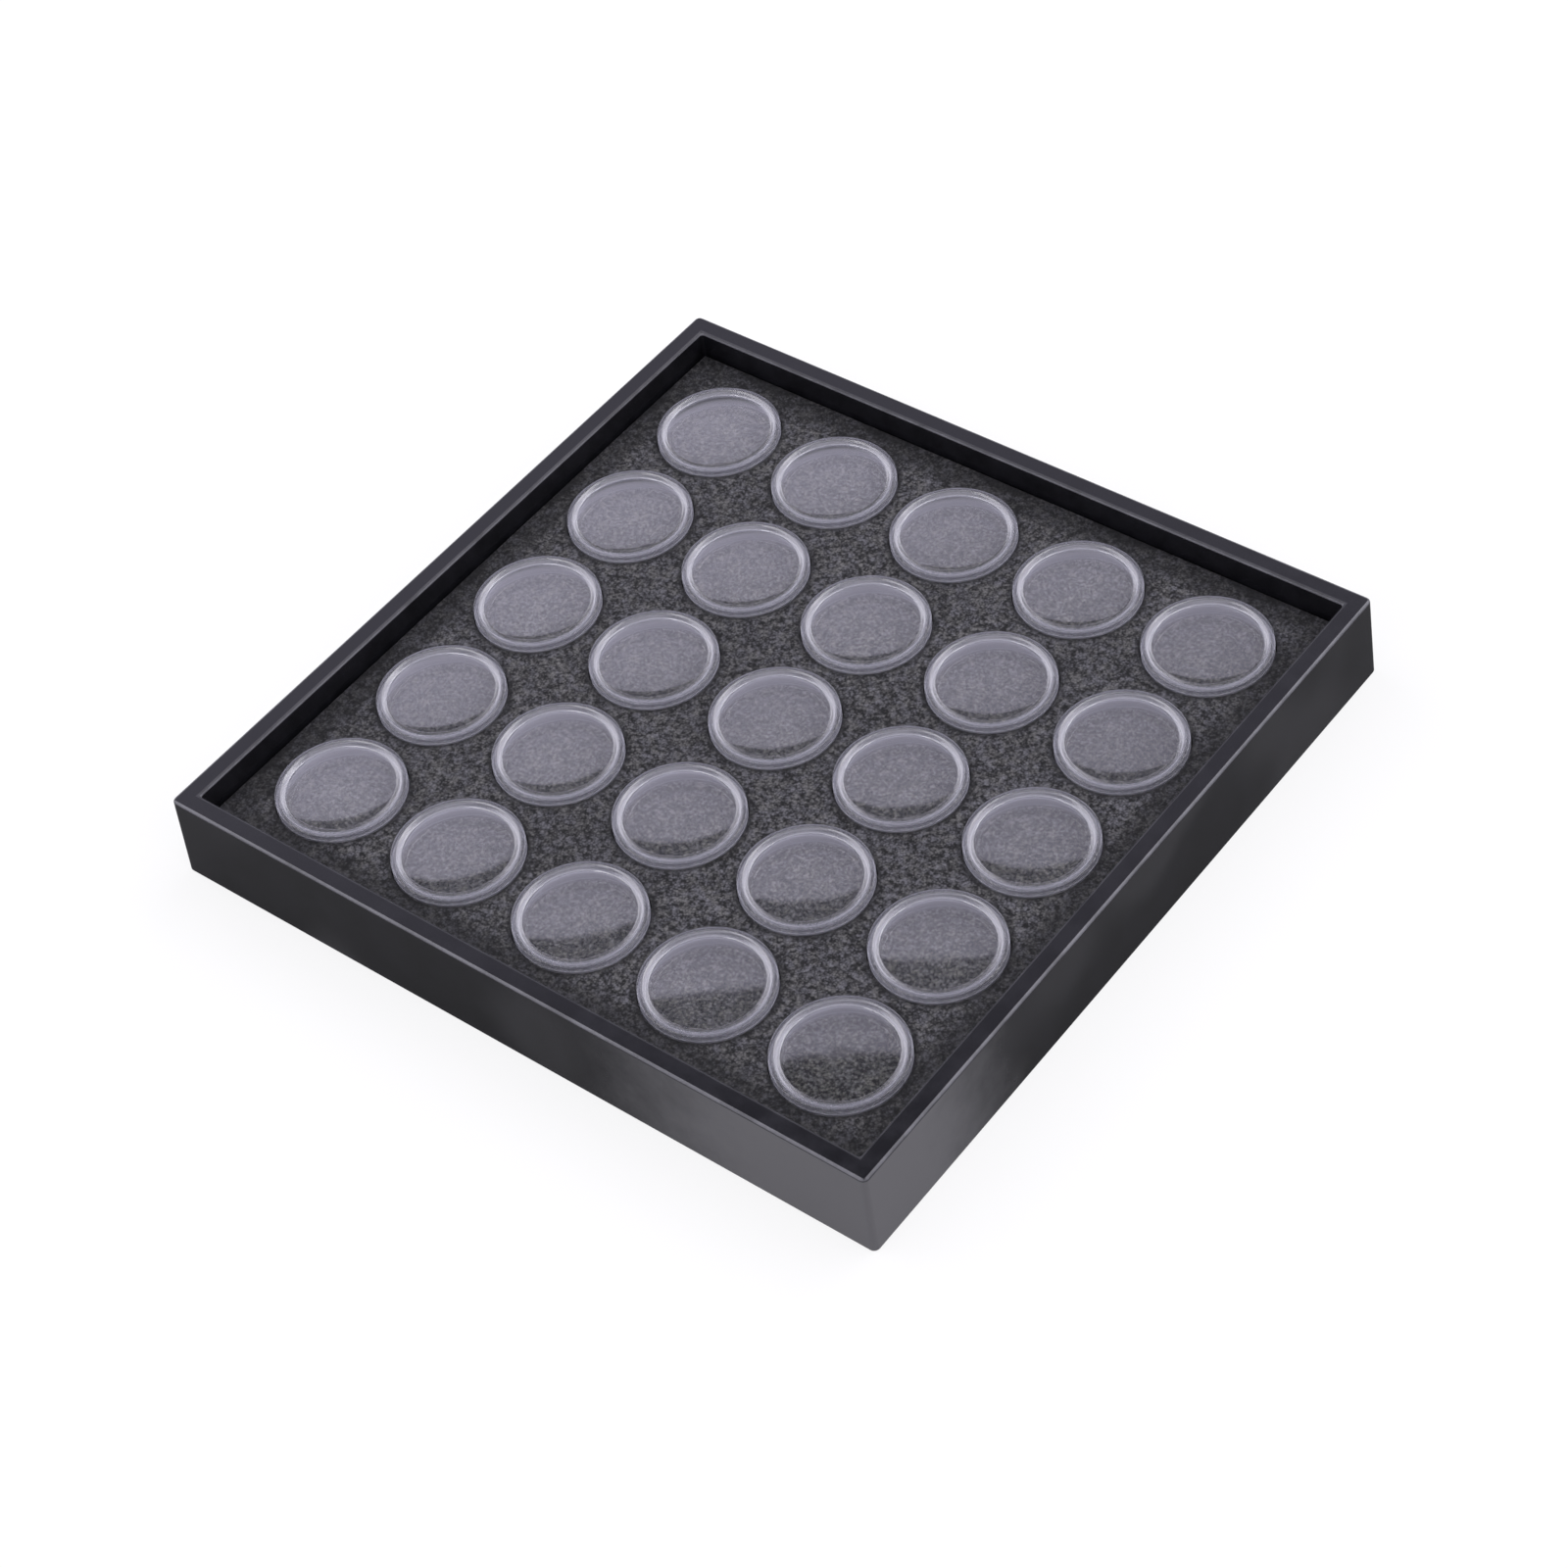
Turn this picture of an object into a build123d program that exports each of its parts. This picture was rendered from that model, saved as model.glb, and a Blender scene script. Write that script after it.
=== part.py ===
"""Coin display tray: a moulded tray, two sheets of foam and twenty-five two-part coin capsules.

Millimetres, +Z up. The origin is the centre of the tray's footprint, on the surface it stands on.
+X runs along the tray's longer side.
"""
from build123d import *
from math import radians, tan
import os

# ---------------------------------------------------------------- driving dimensions
# Capsule grid. The foam and the tray take their length and width from it.
columns = 5                  # along X
rows = 5                     # along Y
column_land = 4.7            # foam left between two pockets, along X
row_land = 4.0               # the same along Y
edge_land = 6.1              # foam between the outer pockets and its edge

# Tray
tray_height = 24.6
skirt_draft = 2.0            # degrees, the skirt flares towards its foot
rim_width = 5.0              # flat top of the hollow rim
wall = 1.5                   # skirt, rim top and inner wall
floor_thickness = 1.8
floor_lift = 1.3             # the floor hangs this far above the skirt's foot
wall_draft = 1.0             # degrees, the inner wall closes in towards the floor
outer_corner_radius = 1.6    # at the rim
inner_corner_radius = 1.0
rim_edge_radius = 0.8        # both edges of the rim's top
web_thickness = 1.2          # stiffening webs inside the hollow rim
web_spacing = 34.0           # largest distance from web to web
web_depth = 12.0             # how far a web hangs below the rim's top

# Foam
pad_thickness = 10.0
foam_gap = 0.6               # foam to the tray's inner wall, at the floor
pocket_gap = 0.3             # capsule to the side of its pocket

# Capsule
capsule_diameter = 32.8
coin_diameter = 27.0
coin_play = 0.1              # coin to the side of its seat
base_height = 4.6            # foot to the seam
lid_height = 1.9             # seam to the top
seam_above_foam = 0.2
guard_width = 1.3            # raised flat ring round each window
guard_height = 0.8           # that ring above the window
edge_chamfer = 0.35
base_window = 1.2            # thickness
skirt_thickness = 0.95       # lid wall outside the base's tongue
tongue_height = 0.4
tongue_play = 0.05           # tongue to lid, at its side and at its top

# Travel
capsule_lift = 30.0          # a capsule out of its pocket
lid_lift = 20.0              # a lid off its base

# ---------------------------------------------------------------- derived places
capsule_radius = capsule_diameter / 2
seat_radius = coin_diameter / 2 + coin_play
guard_radius = capsule_radius - guard_width
skirt_radius = capsule_radius - skirt_thickness
tongue_radius = skirt_radius - tongue_play
pocket_radius = capsule_radius + pocket_gap
column_pitch = 2 * pocket_radius + column_land
row_pitch = 2 * pocket_radius + row_land

foam_length = columns * column_pitch - column_land + 2 * edge_land
foam_width = rows * row_pitch - row_land + 2 * edge_land
floor_top = floor_lift + floor_thickness
pocket_floor = floor_top + pad_thickness
insert_thickness = base_height - seam_above_foam
seam_level = pocket_floor + base_height

opening_depth = tray_height - floor_top
floor_inset = opening_depth * tan(radians(wall_draft))
opening_length = foam_length + 2 * (foam_gap + floor_inset)
opening_width = foam_width + 2 * (foam_gap + floor_inset)
tray_length = opening_length + 2 * rim_width
tray_width = opening_width + 2 * rim_width
skirt_flare = tray_height * tan(radians(skirt_draft))
foot_length = tray_length + 2 * skirt_flare
foot_width = tray_width + 2 * skirt_flare
foot_corner_radius = outer_corner_radius + skirt_flare


def grid_places():
    """Row, column, x and y of every capsule, counted from the corner at -X, -Y."""
    places = []
    for row in range(rows):
        for column in range(columns):
            x = (column - (columns - 1) / 2) * column_pitch
            y = (row - (rows - 1) / 2) * row_pitch
            places.append((row + 1, column + 1, x, y))
    return places


# ---------------------------------------------------------------- tray
def rim_webs():
    """Stiffening webs that cross the hollow rim, spread evenly along all four sides."""
    height = web_depth - wall
    level = tray_height - wall - height / 2
    reach = rim_width - wall
    webs = []
    for length, across, turned in (
        (tray_length, tray_width, False),
        (tray_width, tray_length, True),
    ):
        free_length = length - 2 * rim_width
        count = int(free_length / web_spacing) + 1
        step = free_length / count
        for index in range(1, count):
            along = index * step - free_length / 2
            for side in (-1, 1):
                out = side * (across - wall - reach) / 2
                if turned:
                    webs.append(Pos(out, along, level) * Box(reach, web_thickness, height))
                else:
                    webs.append(Pos(along, out, level) * Box(web_thickness, reach, height))
    return webs


def hollow_under_rim():
    """Space between skirt and inner wall, open below. Both of its sides follow their wall's draft."""
    skirt_inside = extrude(
        RectangleRounded(foot_length - 2 * wall, foot_width - 2 * wall, foot_corner_radius - wall),
        tray_height - wall,
        taper=skirt_draft,
    )
    inner_wall_outside = extrude(
        Pos(0, 0, tray_height)
        * RectangleRounded(opening_length + 2 * wall, opening_width + 2 * wall, inner_corner_radius + wall),
        -tray_height,
        taper=wall_draft,
    )
    return skirt_inside - inner_wall_outside


def tray_shell():
    """Flared skirt, flat hollow rim, drafted inner wall and raised floor, moulded in one."""
    shell = extrude(
        RectangleRounded(foot_length, foot_width, foot_corner_radius), tray_height, taper=skirt_draft
    )
    shell = fillet(shell.edges().group_by(Axis.Z)[-1], rim_edge_radius)

    opening = Pos(0, 0, tray_height) * RectangleRounded(opening_length, opening_width, inner_corner_radius)
    shell -= extrude(opening, -opening_depth, taper=wall_draft)
    rim_top = shell.faces().filter_by(Axis.Z).sort_by(Axis.Z)[-1]
    shell = fillet(rim_top.inner_wires()[0].edges(), rim_edge_radius)

    shell -= hollow_under_rim()
    under_floor = RectangleRounded(
        foot_length - 2 * wall, foot_width - 2 * wall, foot_corner_radius - wall
    )
    shell -= extrude(under_floor, floor_lift, taper=skirt_draft)
    for web in rim_webs():
        shell += web
    return shell


# ---------------------------------------------------------------- foam
def foam_base_pad():
    """Plain sheet under the capsules; it shows through their windows."""
    sheet = Box(foam_length, foam_width, pad_thickness, align=(Align.CENTER, Align.CENTER, Align.MIN))
    return Pos(0, 0, floor_top) * sheet


def foam_insert():
    """Upper sheet with a round pocket for each capsule."""
    outline = Rectangle(foam_length, foam_width)
    for _, _, x, y in grid_places():
        outline -= Pos(x, y) * Circle(pocket_radius)
    return Pos(0, 0, pocket_floor) * extrude(outline, insert_thickness)


# ---------------------------------------------------------------- capsules
def turned(points):
    """Solid of revolution about Z from (radius, height) corners."""
    profile = make_face(Polyline(*[(radius, 0, height) for radius, height in points], close=True))
    return revolve(profile, Axis.Z)


def capsule_base():
    """Clear cup: guard ring and window below, coin seat inside, tongue round the mouth."""
    seat_floor = guard_height + base_window
    return turned([
        (0, guard_height),
        (seat_radius, guard_height),
        (guard_radius, 0),
        (capsule_radius, 0),
        (capsule_radius, base_height),
        (tongue_radius, base_height),
        (tongue_radius, base_height + tongue_height),
        (seat_radius, base_height + tongue_height),
        (seat_radius, seat_floor),
        (0, seat_floor),
    ])


def capsule_lid():
    """Clear cap: its skirt stands on the base outside the tongue, its window lies below a guard ring."""
    underside = tongue_height + tongue_play
    return turned([
        (0, underside),
        (skirt_radius, underside),
        (skirt_radius, 0),
        (capsule_radius, 0),
        (capsule_radius, lid_height - edge_chamfer),
        (capsule_radius - edge_chamfer, lid_height),
        (guard_radius, lid_height),
        (seat_radius, lid_height - guard_height),
        (0, lid_height - guard_height),
    ])


# ---------------------------------------------------------------- build
def write(solid, node):
    solid.label = node
    export_step(solid, os.path.join("parts", node + ".step"))


def build():
    os.makedirs("parts", exist_ok=True)
    write(tray_shell(), "tray_shell")
    write(foam_base_pad(), "foam_base_pad")
    write(foam_insert(), "foam_insert")
    base = capsule_base()
    lid = capsule_lid()
    for row, column, x, y in grid_places():
        write(Pos(x, y, pocket_floor) * base, f"capsule_base_{row}{column}")
        write(Pos(x, y, seam_level) * lid, f"capsule_lid_{row}{column}")


build()
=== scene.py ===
"""Coin display tray: a moulded tray, two sheets of foam and twenty-five clear two-part capsules.

Metres, +Z up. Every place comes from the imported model; this file gives the visible shapes and their finishes.
"""
import math

import bmesh
import bpy
from bpy.props import FloatProperty, FloatVectorProperty, IntProperty, PointerProperty
from mathutils import Matrix, Vector


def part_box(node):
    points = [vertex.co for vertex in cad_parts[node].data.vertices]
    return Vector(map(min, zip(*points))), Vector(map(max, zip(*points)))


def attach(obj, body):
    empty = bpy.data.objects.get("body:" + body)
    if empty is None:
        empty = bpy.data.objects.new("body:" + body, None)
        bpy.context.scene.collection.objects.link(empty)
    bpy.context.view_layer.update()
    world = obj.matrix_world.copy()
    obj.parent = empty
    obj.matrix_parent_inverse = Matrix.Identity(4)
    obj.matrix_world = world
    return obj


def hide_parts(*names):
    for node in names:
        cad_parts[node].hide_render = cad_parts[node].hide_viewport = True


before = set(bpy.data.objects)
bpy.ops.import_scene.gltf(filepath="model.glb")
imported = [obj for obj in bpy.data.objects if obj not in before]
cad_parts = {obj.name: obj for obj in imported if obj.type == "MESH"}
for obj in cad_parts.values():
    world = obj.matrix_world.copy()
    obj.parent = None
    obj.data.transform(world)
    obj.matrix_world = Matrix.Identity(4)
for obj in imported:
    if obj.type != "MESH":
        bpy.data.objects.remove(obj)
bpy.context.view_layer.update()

bl_info = {
    "name": "Coin display tray",
    "version": (1, 0, 0),
    "blender": (4, 5, 0),
    "location": "3D View > Sidebar > Coin Tray",
    "description": "Models a moulded tray with pocketed foam and clear coin capsules",
    "category": "Object",
}

MM = 0.001

# Edges sharper than this many degrees stay sharp
TRAY_SMOOTH = 35.0
FOAM_SMOOTH = 40.0
CAPSULE_SMOOTH = 50.0

PLASTIC_IOR = 1.46
CLEAR_IOR = 1.49
WHITE = (1, 1, 1, 1)

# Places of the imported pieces
TRAY_LOW, TRAY_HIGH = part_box("tray_shell")
SHEET_LOW, SHEET_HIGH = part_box("foam_insert")
PAD_LOW, PAD_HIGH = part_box("foam_base_pad")
KEYS = sorted(name[-2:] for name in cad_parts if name.startswith("capsule_base_"))
BASE_BOXES = {key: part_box("capsule_base_" + key) for key in KEYS}
LID_BOXES = {key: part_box("capsule_lid_" + key) for key in KEYS}
FIRST_BASE_LOW, FIRST_BASE_HIGH = BASE_BOXES[KEYS[0]]
FIRST_LID_LOW, FIRST_LID_HIGH = LID_BOXES[KEYS[0]]
CAPSULE_RADIUS = (FIRST_BASE_HIGH.x - FIRST_BASE_LOW.x) / 2
COLUMNS = len({key[1] for key in KEYS})
ROWS = len({key[0] for key in KEYS})
COLUMN_PITCH = (LID_BOXES[f"1{COLUMNS}"][0].x - LID_BOXES["11"][0].x) / (COLUMNS - 1)
ROW_PITCH = (LID_BOXES[f"{ROWS}1"][0].y - LID_BOXES["11"][0].y) / (ROWS - 1)


# ---------------------------------------------------------------- sizes and colours a user would change
def length(name, description, millimetres):
    return FloatProperty(name=name, description=description, default=millimetres * MM, precision=5, unit="LENGTH")


def angle(name, description, degrees):
    return FloatProperty(name=name, description=description, default=math.radians(degrees), unit="ROTATION")


def colour(name, description, value):
    return FloatVectorProperty(name=name, description=description, default=value, size=3, subtype="COLOR")


def share(name, description, value, highest=1.0):
    return FloatProperty(name=name, description=description, default=value, min=0.0, max=highest)


class TrayProperties(bpy.types.PropertyGroup):
    """Sizes and finish of the moulded tray."""
    wall: length("Wall", "Thickness of the skirt, the rim's top and the inner wall", 1.5)
    rim_width: length("Rim width", "Width of the rim's flat top", 5.0)
    skirt_draft: angle("Skirt draft", "How far the skirt flares towards its foot", 2.0)
    wall_draft: angle("Wall draft", "How far the inner wall closes in towards the floor", 1.0)
    floor_thickness: length("Floor thickness", "Thickness of the tray's floor", 1.8)
    outer_corner: length("Outer corner", "Radius of the skirt's upright corners", 1.6)
    inner_corner: length("Inner corner", "Radius of the opening's upright corners", 1.0)
    rim_edge: length("Rim edge", "Radius of both edges of the rim's top", 0.8)
    foot_edge: length("Foot edge", "Radius of the skirt's lower edge", 0.25)
    web_thickness: length("Web thickness", "Thickness of a web inside the hollow rim", 1.2)
    web_spacing: length("Web spacing", "Largest distance from web to web", 34.0)
    web_depth: length("Web depth", "How far a web hangs below the rim's top", 12.0)
    black: colour("Black", "Colour of the moulded plastic", (0.0078, 0.0078, 0.0094))
    gloss: share("Roughness", "Roughness of the moulded plastic", 0.20)
    # Painted reflection: grey added to the outer walls in place of the bright floor they mirror, strongest at the
    # front corner
    painted_light: share("Haze", "Colour added by the satin haze at the front corner", 0.165)
    # Painted highlights: the three greys below are lighter lines along the rim's rounded edges, in place of the
    # highlights they catch
    painted_edge_highlight: share("Rubbed edge", "Grey of the rubbed outer edge of the rim", 0.15)
    inner_edge_highlight: share("Rubbed inner edge", "Grey of the rubbed inner edge of the rim", 0.035)
    turned_edge_highlight: share("Rubbed below", "Grey of that edge where it turns down into the opening", 0.2)


class FoamProperties(bpy.types.PropertyGroup):
    """Sizes and finish of both sheets of foam."""
    pocket_gap: length("Pocket gap", "Capsule to the side of its pocket", 0.3)
    around: IntProperty(name="Steps round a pocket", description="Corners of a pocket's outline", default=160, min=16)
    across: IntProperty(name="Steps across the land", description="Cuts from a pocket to its cell's side", default=10)
    relief: length("Relief", "Depth of the open cells in the cut face", 0.22)
    cell: length("Cell", "Size of the cells in the cut face", 1.1)
    dark: colour("Dark", "Colour of the foam's hollows", (0.008, 0.008, 0.0085))
    light: colour("Light", "Colour of the foam's cell walls", (0.129, 0.128, 0.131))
    # Painted shade: the foam is darkened along the tray's walls and round each pocket
    wall_shade: length("Wall shade", "How far the darker border of the foam reaches in from its edge", 10.0)
    pocket_shade: length("Pocket shade", "How far the darker border of a pocket reaches into the land", 1.6)


class CapsuleProperties(bpy.types.PropertyGroup):
    """Sizes and finish of the clear capsules."""
    around: IntProperty(name="Steps round a capsule", description="Corners of a capsule's outline", default=96, min=16)
    seat_diameter: length("Seat diameter", "Inside of the cup, for the coin", 27.2)
    guard_width: length("Guard width", "Width of the raised ring round a window", 1.3)
    guard_height: length("Guard height", "Ring above the window", 0.8)
    bead_width: length("Bead width", "Slightly higher inner part of the lid's ring", 0.75)
    bead_rise: length("Bead rise", "That part above the ring's outer part", 0.16)
    dome: length("Dome", "Rise of the lid's window from its edge to its middle", 0.25)
    dome_edge: length("Dome edge", "Further rise close to the window's edge", 0.10)
    base_window: length("Base window", "Thickness of the cup's window", 1.2)
    skirt: length("Lid skirt", "Lid wall outside the cup's tongue", 0.95)
    tongue_height: length("Tongue height", "Tongue above the seam", 0.4)
    tongue_play: length("Tongue play", "Tongue to lid, at its side and at its top", 0.05)
    edge: length("Edge", "Radius of the lid's outer edge", 0.45)
    # Painted light: the tint and the three shares below mix in a whitish diffuse colour in place of the light that the
    # thick plastic gathers and refracts; the same share also roughens the gloss
    tint: colour("Tint", "Colour that shows in the thick ring", (0.35, 0.35, 0.40))
    ring_painted_light: share("Ring haze", "How milky the top of the lid's ring looks", 0.06)
    side_painted_light: share("Side haze", "How milky the outer side of lid and cup looks", 0.55)
    mouth_painted_light: share("Mouth haze", "How milky the mouth of the cup looks, under the lid", 0.55)


class StageProperties(bpy.types.PropertyGroup):
    """Floor, surrounding light and camera."""
    floor_size: length("Floor size", "Side of the square floor", 12000.0)
    floor_colour: colour("Floor colour", "Colour of the pale floor", (0.17, 0.17, 0.168))
    floor_glow: share("Floor glow", "Light that makes up the floor's white where a lens sees it", 0.80)
    floor_mirrored: share("Mirrored glow", "Part of that light that polished surfaces mirror", 0.1)
    softbox_light: share("Softbox light", "Brightness of the long softbox beyond the tray", 1.0, 10.0)
    softbox_fade: share("Softbox fade", "How much brighter the softbox is at its lower edge", 0.45)
    softbox_left: share("Softbox left", "How much brighter the softbox gets towards the left", 0.9, 5.0)
    softbox_slant: share("Softbox slant", "How much the softbox's upper edge rises towards the right", 0.09)
    softbox_low: angle("Softbox low", "Elevation of the softbox's lower edge", 35.0)
    softbox_high: angle("Softbox high", "Elevation of the softbox's upper edge", 51.3)
    backdrop_light: share("Backdrop light", "Brightness of the backdrop under the softbox", 0.12, 10.0)
    side_light: share("Side light", "Brightness of the walls left and right", 2.2, 10.0)
    near_light: share("Near light", "Brightness of the wall behind the camera", 0.5, 10.0)
    gap_light: share("Gap light", "Brightness between the softbox and the overhead light", 0.06, 10.0)
    top_light: share("Top light", "Brightness of the overhead light", 1.1, 10.0)
    top_low: angle("Top low", "Elevation of the overhead light's edge", 64.0)
    softbox_tint: colour("Softbox tint", "Colour of the softbox", (0.83, 0.80, 1.0))
    wall_tint: colour("Wall tint", "Colour of the walls", (0.92, 0.90, 1.0))
    lamp_tint: colour("Lamp tint", "Colour of the lamps", (0.97, 0.96, 1.0))
    lamp_power: FloatProperty(name="Lamp power", description="Power of each lamp", default=9.5, unit="POWER")
    lamp_size: length("Lamp size", "Side of a square lamp", 1100.0)
    lamp_distance: length("Lamp distance", "Lamp to the tray", 2500.0)
    lamp_elevation: angle("Lamp elevation", "Elevation of both lamps", 60.0)
    lamp_spread: angle("Lamp spread", "Turn of each lamp from the line of sight", 57.0)
    lens: FloatProperty(name="Lens", description="Focal length on a 36 mm sensor", default=83.46, unit="CAMERA")
    camera_azimuth: angle("Camera azimuth", "Direction of the camera, turned from +X", -45.73)
    camera_elevation: angle("Camera elevation", "Height of the camera over the horizon", 46.94)
    camera_roll: angle("Camera roll", "Turn of the camera about its line of sight", -9.28)
    camera_distance: length("Camera distance", "Camera to the point it looks at", 870.7)
    aim: FloatVectorProperty(
        name="Aim", description="Point the camera looks at", default=(0.01447, -0.01544, 0.017), subtype="TRANSLATION"
    )


# ---------------------------------------------------------------- modelling by hand, in code
def deselect():
    if bpy.context.object and bpy.context.object.mode != "OBJECT":
        bpy.ops.object.mode_set(mode="OBJECT")
    bpy.ops.object.select_all(action="DESELECT")


def only(piece):
    deselect()
    piece.select_set(True)
    bpy.context.view_layer.objects.active = piece


def begin(name):
    """Names the primitive that was just added and opens it with nothing selected in it."""
    piece = bpy.context.active_object
    piece.name = name
    piece.data.name = name
    bpy.ops.object.transform_apply(location=True, rotation=True, scale=True)
    open_piece(piece)
    return piece


def open_piece(piece):
    only(piece)
    bpy.ops.object.mode_set(mode="EDIT")
    bpy.ops.mesh.select_all(action="DESELECT")


def pick(piece, kind, test):
    """Selects the open piece's "VERT", "EDGE" or "FACE" elements that pass the test, and nothing else."""
    bpy.ops.mesh.select_mode(type=kind)
    bpy.ops.mesh.select_all(action="DESELECT")
    mesh = bmesh.from_edit_mesh(piece.data)
    elements = {"VERT": mesh.verts, "EDGE": mesh.edges, "FACE": mesh.faces}[kind]
    chosen = [element for element in elements if test(element)]
    for element in chosen:
        element.select_set(True)
    mesh.select_flush_mode()
    bmesh.update_edit_mesh(piece.data)
    if not chosen:
        raise RuntimeError(f"{piece.name}: nothing fits where a {kind.lower()} was looked for")


def close(piece, smooth):
    """Leaves edit mode, turns the faces outwards and smooths all but the sharp edges."""
    bpy.ops.mesh.select_all(action="SELECT")
    bpy.ops.mesh.normals_make_consistent(inside=False)
    bpy.ops.object.mode_set(mode="OBJECT")
    finish_shading(piece, smooth)


def finish_shading(piece, smooth):
    """Smooths all but the edges sharper than that angle, and keeps the large faces flat."""
    only(piece)
    bpy.ops.object.shade_smooth_by_angle(angle=math.radians(smooth))
    apply_modifier(piece, "WEIGHTED_NORMAL", keep_sharp=True, weight=80)


def raise_by(distance):
    bpy.ops.mesh.extrude_region_move(TRANSFORM_OT_translate={"value": (0, 0, distance)})


def bevel(radius, segments):
    bpy.ops.mesh.bevel(offset=radius, segments=segments, profile=0.5, affect="EDGES", clamp_overlap=True)


def near(value, target, tolerance=0.02 * MM):
    return abs(value - target) < tolerance


def level_of(element):
    """Height of an edge or face whose corners all lie at one height, otherwise None."""
    heights = [corner.co.z for corner in element.verts]
    if max(heights) - min(heights) > 0.01 * MM:
        return None
    return sum(heights) / len(heights)


def is_level(element, height):
    level = level_of(element)
    return level is not None and near(level, height)


def faces_up(face):
    return face.normal.z > 0.99


def faces_down(face):
    return face.normal.z < -0.99


def is_corner(edge, degrees=30):
    return len(edge.link_faces) == 2 and edge.calc_face_angle() > math.radians(degrees)


def apply_modifier(piece, kind, **settings):
    only(piece)
    modifier = piece.modifiers.new(kind.title(), kind)
    for name, value in settings.items():
        setattr(modifier, name, value)
    bpy.ops.object.modifier_apply(modifier=modifier.name)


def copy_to(piece, name, shift):
    """A copy with its own mesh, moved in the mesh."""
    copy = piece.copy()
    copy.data = piece.data.copy()
    copy.name = name
    copy.data.name = name
    copy.data.transform(Matrix.Translation(shift))
    bpy.context.scene.collection.objects.link(copy)
    return copy


def dress(piece, body, replaced, material):
    """Gives a finished piece its finish, hangs it on its body and hides the imported part it replaces."""
    piece.data.materials.append(material)
    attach(piece, body)
    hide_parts(replaced)


# ---------------------------------------------------------------- shader maths
class Shade:
    """A shader node's socket that is added to and multiplied like a number."""

    def __init__(self, tree, socket=None):
        self.tree = tree
        self.socket = socket

    def node(self, kind, settings=None, inputs=None, output=0):
        """Adds a node, sets it up, feeds its sockets and returns one of its outputs."""
        node = self.tree.nodes.new(kind)
        for name, value in (settings or {}).items():
            setattr(node, name, value)
        for name, value in (inputs or {}).items():
            if isinstance(value, Shade):
                self.tree.links.new(value.socket, node.inputs[name])
            else:
                node.inputs[name].default_value = value
        return Shade(self.tree, node.outputs[output])

    def math(self, operation, *values):
        return self.node("ShaderNodeMath", {"operation": operation}, dict(enumerate(values)))

    def __add__(self, other):
        return self.math("ADD", self, other)

    __radd__ = __add__

    def __sub__(self, other):
        return self.math("SUBTRACT", self, other)

    def __rsub__(self, other):
        return self.math("SUBTRACT", other, self)

    def __mul__(self, other):
        return self.math("MULTIPLY", self, other)

    __rmul__ = __mul__

    def absolute(self):
        return self.math("ABSOLUTE", self)

    def lesser(self, other):
        return self.math("MINIMUM", self, other)

    def greater(self, other):
        return self.math("MAXIMUM", self, other)

    def axes(self, count):
        """The first coordinates of this vector."""
        return [self.node("ShaderNodeSeparateXYZ", None, {0: self}, output=axis) for axis in range(count)]

    def clamped(self):
        return self.node("ShaderNodeClamp", inputs={"Value": self})

    def between(self, low, high, result_low=0.0, result_high=1.0):
        """Smoothly runs from one result to the other while this value runs from low to high."""
        return self.node(
            "ShaderNodeMapRange",
            {"interpolation_type": "SMOOTHSTEP"},
            {"Value": self, "From Min": low, "From Max": high, "To Min": result_low, "To Max": result_high},
        )

    def blend(self, low, high):
        """Colour between two colours, by this value."""
        return self.node(
            "ShaderNodeMix", {"data_type": "RGBA"}, {"Factor": self, 6: low, 7: high}, output=2
        )


def new_material(name):
    """An empty material, its maths and its output node."""
    material = bpy.data.materials.new(name)
    material.use_nodes = True
    material.node_tree.nodes.clear()
    output = material.node_tree.nodes.new("ShaderNodeOutputMaterial")
    return material, Shade(material.node_tree), output


def opaque(value):
    return (value[0], value[1], value[2], 1.0)


def grain(shade, position, size, detail=2.0, roughness=0.5):
    """Noise whose largest spots are about that size."""
    return shade.node(
        "ShaderNodeTexNoise",
        {"noise_dimensions": "3D"},
        {"Vector": position, "Scale": 1.0 / size, "Detail": detail, "Roughness": roughness},
    )


# Moulded plastic
TEXTURE_SIZE = 0.45 * MM
RIPPLE_SIZE = 22 * MM
SMEAR_SIZE = 9 * MM
PATCH_SIZE = 48 * MM
PATCH_REFLECTION = 0.14                    # share of the full painted reflection
REFLECTION_REACH = (0.03, 0.095)           # metres from the front corner: full painted reflection up to here, none from there
REFLECTION_RAGGED = 0.025                  # how far the smears shift that border
# Colour of the painted highlight lines along the rim's edges
HIGHLIGHT_GREY = (0.94, 0.94, 1.0)


def painted_rim_highlights(props, inwards, depth):
    """Grey of the painted highlight lines along both edges of the rim's top, and zero elsewhere."""
    edge = props.rim_edge
    by_outside, by_opening = (
        distance.between(0.6 * edge, 0.95 * edge, 1.0, 0.0) for distance in (inwards, props.rim_width - inwards)
    )
    outer_line = by_outside * depth.between(0.45 * edge, 0.9 * edge, 1.0, 0.0)
    inner_line = by_opening * depth.between(0.8 * edge, 1.2 * edge, 1.0, 0.0)
    inner_grey = depth.between(0.15 * edge, 0.5 * edge, props.inner_edge_highlight, props.turned_edge_highlight)
    return outer_line * props.painted_edge_highlight + inner_line * inner_grey


def painted_wall_reflection(shade, position, smear, inwards):
    """Painted reflection on the outer walls: ragged and full at the front corner, faint patches elsewhere, none on the
    rim.
    """
    across, along, up = position.axes(3)
    from_corner = (TRAY_HIGH.x - across) + (along - TRAY_LOW.y) * 1.5 + (smear - 0.5) * REFLECTION_RAGGED
    at_corner = from_corner.between(*REFLECTION_REACH, 1.0, 0.0)
    patches = grain(shade, position, PATCH_SIZE, 1.0).between(0.45, 0.62, 0.0, PATCH_REFLECTION)
    below_rim = up.between(TRAY_HIGH.z - 0.9 * MM, TRAY_HIGH.z - 0.5 * MM, 1.0, 0.0)
    on_wall = inwards.between(0.6 * MM, 1.2 * MM, 1.0, 0.0)
    return at_corner.greater(patches) * below_rim * on_wall


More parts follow.
